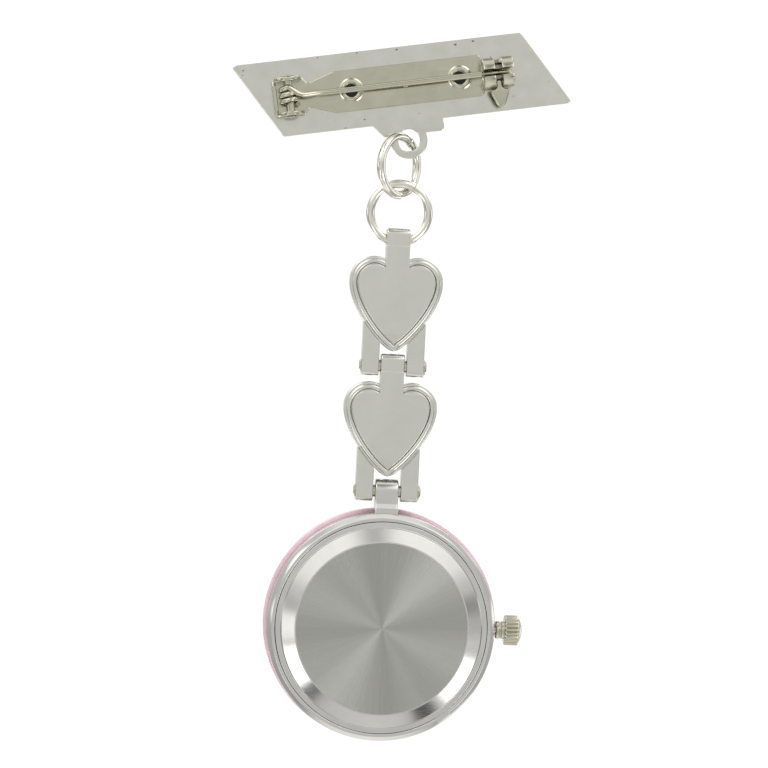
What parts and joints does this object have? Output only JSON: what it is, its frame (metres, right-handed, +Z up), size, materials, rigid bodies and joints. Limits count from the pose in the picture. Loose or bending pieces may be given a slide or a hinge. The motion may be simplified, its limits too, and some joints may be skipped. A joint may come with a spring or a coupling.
{
  "type": "fob watch",
  "caption": "Pin-on nurse's fob watch: slanted brooch plate with safety pin, jump rings, heart links and a round quartz watch with a pull-out crown.",
  "frame": {"origin": "centre of the brooch plate's rear face, where it lies on the garment", "axes": "+Z up; the watch hangs down -Z; +Y out of the rear faces (towards the wearer), so the dial faces -Y; the crown is on the -X side"},
  "size_m": [0.0412, 0.0075, 0.0873],
  "materials": {
    "polished_chrome": "polished chrome plate on zinc alloy",
    "nickel_plate": "warm bright nickel plate on steel",
    "pink_enamel": "glossy pink enamel",
    "brushed_back": "sunray brushed stainless steel with a polished bevel",
    "dial_white": "satin white dial paint",
    "hand_black": "gloss black lacquer",
    "seconds_red": "gloss red lacquer",
    "crystal_glass": "clear mineral glass",
    "gasket_clear": "milky nylon",
    "rubber_seal": "black nitrile rubber",
    "brass_movement": "machined brass",
    "steel_part": "bright steel",
    "copper_wire": "enamelled copper wire",
    "circuit_green": "green circuit laminate",
    "holder_plastic": "moulded white plastic"
  },
  "bodies": {
    "brooch": {"brooch_plate": "polished_chrome", "brooch_enamel": "pink_enamel", "pin_bar": "nickel_plate", "hinge_rivet": "nickel_plate"},
    "pin_stem": {"pin_stem": "nickel_plate"},
    "safety_catch": {"catch_roller": "nickel_plate"},
    "upper_ring": {"upper_jump_ring": "nickel_plate"},
    "lower_ring": {"lower_jump_ring": "nickel_plate"},
    "upper_link": {"upper_heart_link": "polished_chrome", "upper_heart_enamel": "pink_enamel", "upper_link_pin": "nickel_plate"},
    "lower_link": {"lower_heart_link": "polished_chrome", "lower_heart_enamel": "pink_enamel", "lower_link_pin": "nickel_plate"},
    "watch_head": {"case_middle": "polished_chrome", "bezel": "pink_enamel", "crystal": "crystal_glass", "crystal_gasket": "gasket_clear", "case_back": "brushed_back", "case_back_gasket": "rubber_seal", "dial": "dial_white", "crown_tube": "steel_part", "movement_ring": "holder_plastic", "main_plate": "brass_movement", "train_bridge": "brass_movement", "bridge_screw_1": "steel_part", "bridge_screw_2": "steel_part", "stator": "steel_part", "coil_core": "steel_part", "coil_winding": "copper_wire", "circuit_board": "circuit_green", "quartz_crystal": "steel_part", "battery": "steel_part", "battery_strap": "steel_part"},
    "setting_slide": {"setting_lever": "steel_part"},
    "crown": {"crown": "nickel_plate", "winding_stem": "steel_part", "crown_gasket": "rubber_seal"},
    "seconds": {"seconds_hand": "seconds_red", "seconds_wheel": "brass_movement"},
    "minutes": {"minute_hand": "hand_black", "centre_wheel": "brass_movement"},
    "hours": {"hour_hand": "hand_black", "hour_wheel": "brass_movement"},
    "fifth": {"fifth_wheel": "brass_movement"},
    "third": {"third_wheel": "brass_movement"},
    "rotor": {"rotor": "steel_part"},
    "minute_motion": {"minute_wheel": "brass_movement"}
  },
  "joints": [
    {"name": "pin_open", "type": "hinge", "parent": "brooch", "child": "pin_stem", "pos_m": [0.01371, 0.00195, -0.00232], "axis": [-0.1668, 0, -0.986], "range_deg": [0, 70]},
    {"name": "catch_turn", "type": "hinge", "parent": "brooch", "child": "safety_catch", "pos_m": [-0.01134, 0.00195, 0.00192], "axis": [0.986, 0, -0.1668], "range_deg": [0, 100]},
    {"name": "upper_ring_swing", "type": "hinge", "parent": "brooch", "child": "upper_ring", "pos_m": [-0.00113, -0.0004, -0.0067], "axis": [0, 1, 0], "range_deg": [-40, 40]},
    {"name": "lower_ring_swing", "type": "hinge", "parent": "upper_ring", "child": "lower_ring", "pos_m": [-0.00035, 0.00028, -0.01206], "axis": [1, 0, 0], "range_deg": [-26, 45]},
    {"name": "upper_link_swing", "type": "hinge", "parent": "lower_ring", "child": "upper_link", "pos_m": [-0.00035, 0.00028, -0.01899], "axis": [-1, 0, 0], "range_deg": [-80, 80]},
    {"name": "lower_link_swing", "type": "hinge", "parent": "upper_link", "child": "lower_link", "pos_m": [-0.00035, 0.00028, -0.03429], "axis": [1, 0, 0], "range_deg": [-85, 85]},
    {"name": "watch_swing", "type": "hinge", "parent": "lower_link", "child": "watch_head", "pos_m": [-0.00035, 0.00028, -0.04959], "axis": [-1, 0, 0], "range_deg": [-80, 80]},
    {"name": "crown_pull", "type": "slide", "parent": "watch_head", "child": "setting_slide", "axis": [-1, 0, 0], "range_m": [0, 0.001]},
    {"name": "crown_turn", "type": "hinge", "parent": "setting_slide", "child": "crown", "pos_m": [-0.00035, 0.00058, -0.06605], "axis": [-1, 0, 0], "continuous": true},
    {"name": "seconds_turn", "type": "hinge", "parent": "watch_head", "child": "seconds", "pos_m": [-0.00035, 0.00028, -0.06605], "axis": [0, 1, 0], "continuous": true},
    {"name": "minutes_turn", "type": "hinge", "parent": "watch_head", "child": "minutes", "pos_m": [-0.00035, 0.00028, -0.06605], "axis": [0, 1, 0], "continuous": true},
    {"name": "hours_turn", "type": "hinge", "parent": "watch_head", "child": "hours", "pos_m": [-0.00035, 0.00028, -0.06605], "axis": [0, 1, 0], "continuous": true},
    {"name": "fifth_wheel_turn", "type": "hinge", "parent": "watch_head", "child": "fifth", "pos_m": [0.00168, 0.00028, -0.06488], "axis": [0, 1, 0], "continuous": true},
    {"name": "third_wheel_turn", "type": "hinge", "parent": "watch_head", "child": "third", "pos_m": [0.00156, 0.00028, -0.06796], "axis": [0, 1, 0], "continuous": true},
    {"name": "rotor_turn", "type": "hinge", "parent": "watch_head", "child": "rotor", "pos_m": [0.00204, 0.00028, -0.06281], "axis": [0, 1, 0], "continuous": true},
    {"name": "minute_wheel_turn", "type": "hinge", "parent": "watch_head", "child": "minute_motion", "pos_m": [0.00075, 0.00028, -0.06414], "axis": [0, 1, 0], "continuous": true}
  ],
  "couplings": [
    {"joint": "minutes_turn", "follows": "seconds_turn", "ratio": 0.016667},
    {"joint": "hours_turn", "follows": "seconds_turn", "ratio": 0.0013889},
    {"joint": "fifth_wheel_turn", "follows": "seconds_turn", "ratio": -5},
    {"joint": "third_wheel_turn", "follows": "seconds_turn", "ratio": -0.13333},
    {"joint": "rotor_turn", "follows": "seconds_turn", "ratio": 30},
    {"joint": "minute_wheel_turn", "follows": "seconds_turn", "ratio": -0.0055556}
  ]
}
